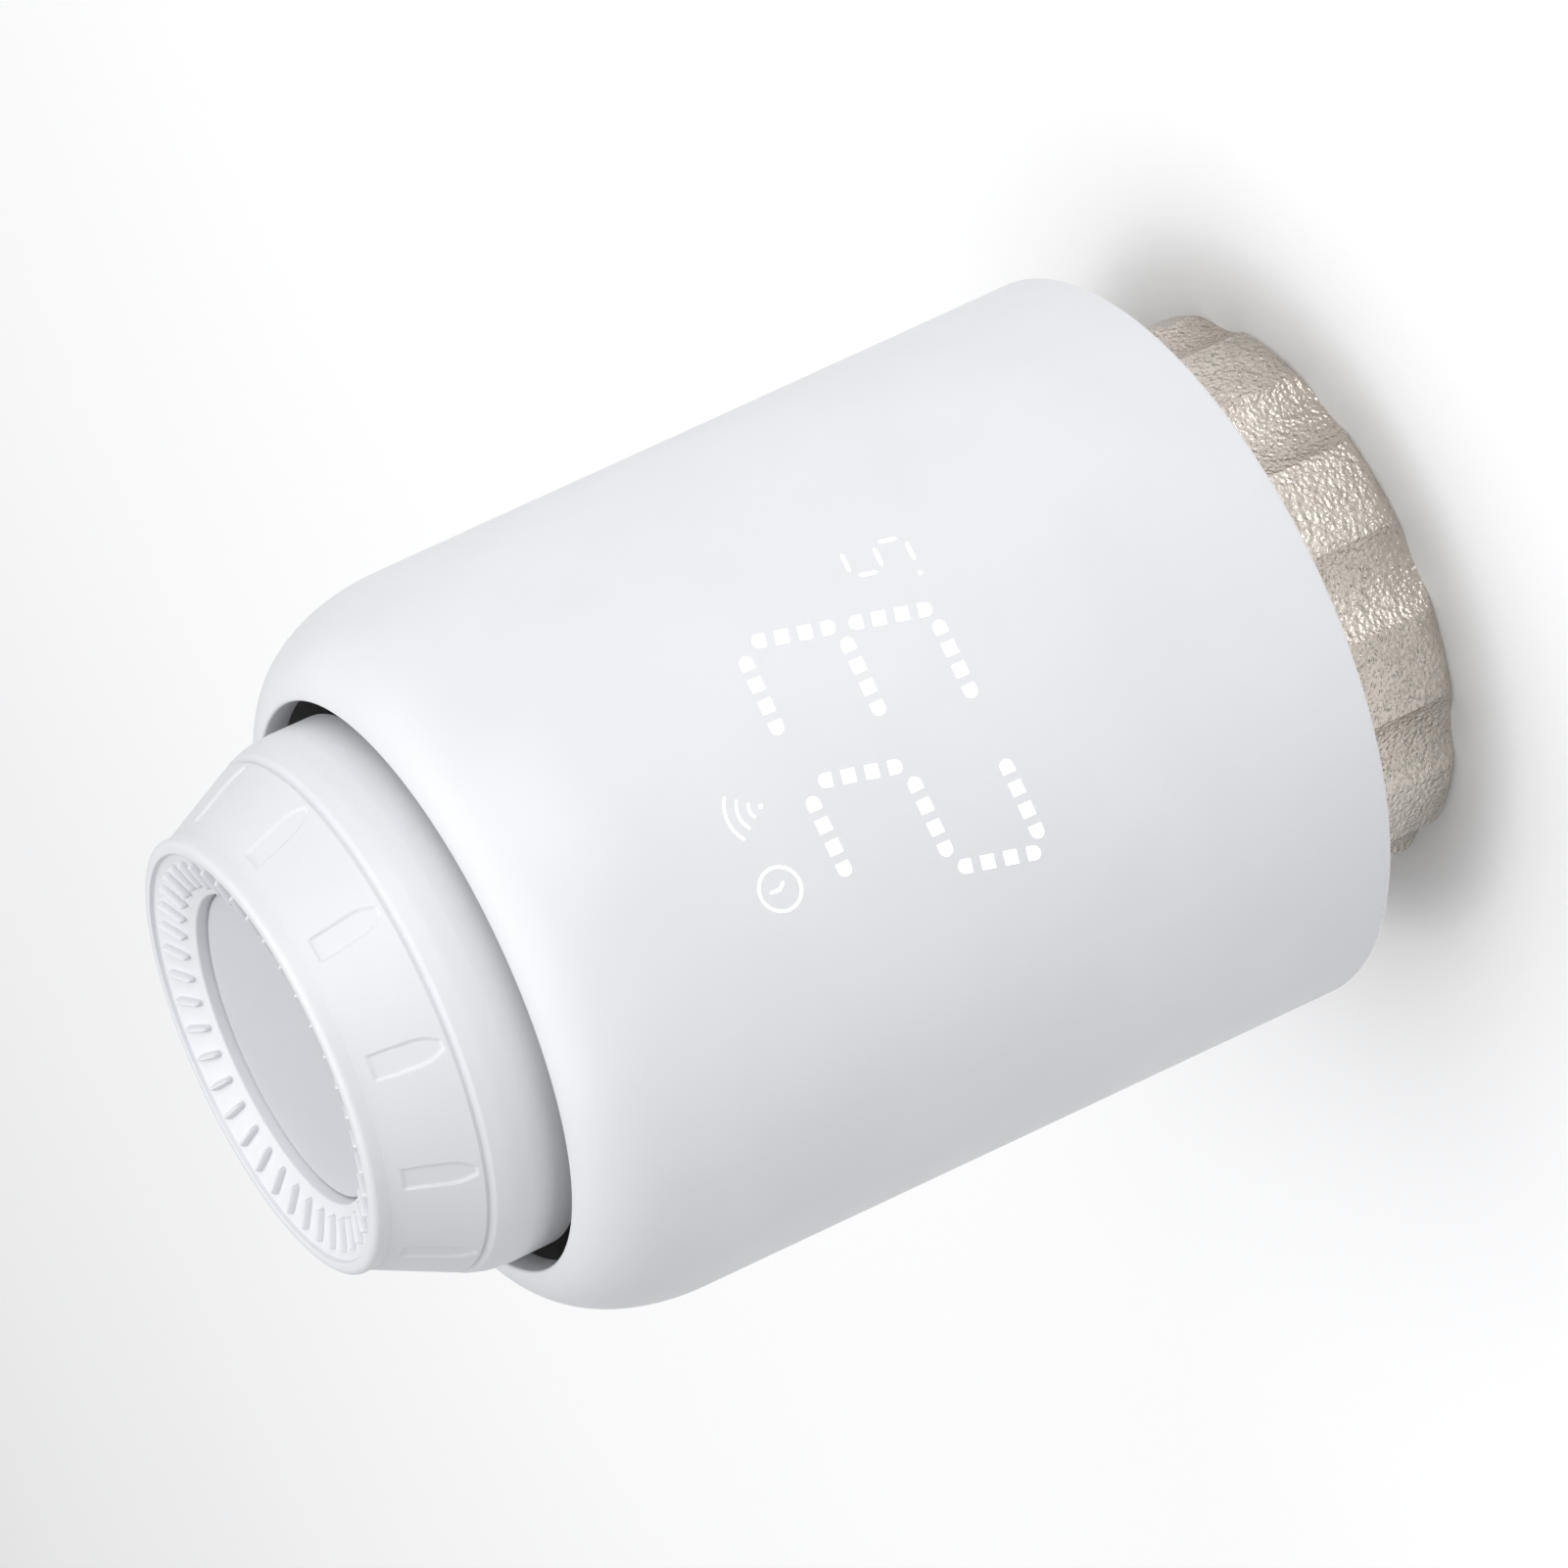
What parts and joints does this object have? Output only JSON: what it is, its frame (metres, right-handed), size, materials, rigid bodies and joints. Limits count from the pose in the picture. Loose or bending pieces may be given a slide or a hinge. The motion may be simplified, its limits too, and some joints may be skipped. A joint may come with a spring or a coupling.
{
  "type": "radiator valve thermostat head",
  "caption": "Round motorised radiator thermostat head: white slide-off casing with hidden digits, push-and-turn knob, and a scalloped metal union nut that screws onto a radiator valve.",
  "frame": {"origin": "centre of the union nut's open end, on the valve axis", "axes": "+Z along the valve axis from the nut to the knob; the display faces -Y; +X is the display's right"},
  "size_m": [0.053, 0.053, 0.081],
  "materials": {
    "casing_white": "satin injection-moulded white ABS",
    "knob_white": "fine-grained white ABS",
    "cap_white": "satin white ABS, slightly greyer",
    "nut_nickel": "nickel-plated cast brass, sand-blasted",
    "steel": "bright drawn steel",
    "contact_nickel": "nickel-plated spring steel",
    "frame_white": "natural white ABS, moulded",
    "gear_natural": "natural acetal",
    "pin_glassfibre": "glass-filled polyamide",
    "motor_steel": "zinc-plated motor can",
    "motor_cap": "black motor end cap",
    "brass": "turned brass",
    "lead_red": "PVC-insulated stranded wire",
    "cell_jacket": "shrink-sleeved alkaline cell",
    "board_green": "solder-masked circuit board",
    "box_white": "opaque white reflector box",
    "film": "translucent diffuser film",
    "display_light": "lit white LED light",
    "chip_black": "epoxy chip package",
    "cap_sleeve": "sleeved electrolytic capacitor",
    "sensor_epoxy": "epoxy thermistor bead",
    "encoder_dark": "encoder housing",
    "plunger_red": "moulded switch plunger"
  },
  "bodies": {
    "chassis": {"base": "frame_white", "snap_ring": "steel", "thrust_washer": "steel", "gearbox_body": "frame_white", "bearing_plate": "frame_white", "gearbox_cover": "frame_white", "gear_axles": "steel", "gearbox_screws": "steel", "motor_can": "motor_steel", "motor_end_cap": "motor_cap", "motor_terminals": "brass", "motor_leads": "lead_red", "battery_holder": "frame_white", "battery_cells": "cell_jacket", "battery_springs": "contact_nickel", "bridge_contact": "contact_nickel", "top_contacts": "contact_nickel", "inner_frame": "frame_white", "frame_screws": "steel", "main_board": "board_green", "light_box": "box_white", "diffuser_film": "film", "display_leds": "display_light", "radio_module": "steel", "board_chips": "chip_black", "capacitor": "cap_sleeve", "temperature_sensor": "sensor_epoxy", "board_header": "chip_black", "knob_board": "board_green", "encoder_body": "encoder_dark", "switch_dome": "contact_nickel"},
    "casing": {"sleeve": "casing_white"},
    "nut": {"union_nut": "nut_nickel"},
    "pin": {"push_pin": "pin_glassfibre"},
    "output": {"output_gear": "gear_natural"},
    "gear_b": {"second_gear": "gear_natural"},
    "gear_a": {"first_gear": "gear_natural"},
    "rotor": {"motor_shaft": "steel", "motor_pinion": "brass"},
    "plunger": {"switch_plunger": "plunger_red"},
    "dial": {"knob_shaft": "steel", "knob": "knob_white", "knob_cap": "cap_white"}
  },
  "joints": [
    {"name": "casing_slide", "type": "slide", "parent": "chassis", "child": "casing", "axis": [0, 0, 1], "range_m": [0, 0.074]},
    {"name": "nut_turn", "type": "hinge", "parent": "chassis", "child": "nut", "pos_m": [0, 0, 0], "axis": [0, 0, 1], "continuous": true},
    {"name": "knob_press", "type": "slide", "parent": "chassis", "child": "plunger", "axis": [0, 0, -1], "range_m": [0, 0.0006], "stiffness_N_per_m": 3000, "springref_m": -0.0003},
    {"name": "knob_turn", "type": "hinge", "parent": "plunger", "child": "dial", "pos_m": [0, 0, 0], "axis": [0, 0, 1], "continuous": true},
    {"name": "pin_travel", "type": "slide", "parent": "chassis", "child": "pin", "axis": [0, 0, -1], "range_m": [0, 0.0048]},
    {"name": "output_turn", "type": "hinge", "parent": "chassis", "child": "output", "pos_m": [0, 0, 0], "axis": [0, 0, 1], "range_deg": [0, 1152.1]},
    {"name": "second_gear_turn", "type": "hinge", "parent": "chassis", "child": "gear_b", "pos_m": [-0.0053, -0.0053, 0], "axis": [0, 0, 1], "range_deg": [-2304.2, 0]},
    {"name": "first_gear_turn", "type": "hinge", "parent": "chassis", "child": "gear_a", "pos_m": [0.0047, -0.0053, 0], "axis": [0, 0, 1], "range_deg": [0, 9216.8]},
    {"name": "motor_turn", "type": "hinge", "parent": "chassis", "child": "rotor", "pos_m": [-0.00437, -0.00108, 0], "axis": [0, 0, 1], "range_deg": [-36867.2, 0]}
  ],
  "couplings": [
    {"joint": "output_turn", "follows": "pin_travel", "rad_per_m": 4188.8},
    {"joint": "second_gear_turn", "follows": "pin_travel", "rad_per_m": -8377.6},
    {"joint": "first_gear_turn", "follows": "pin_travel", "rad_per_m": 33510},
    {"joint": "motor_turn", "follows": "pin_travel", "rad_per_m": -134040}
  ]
}
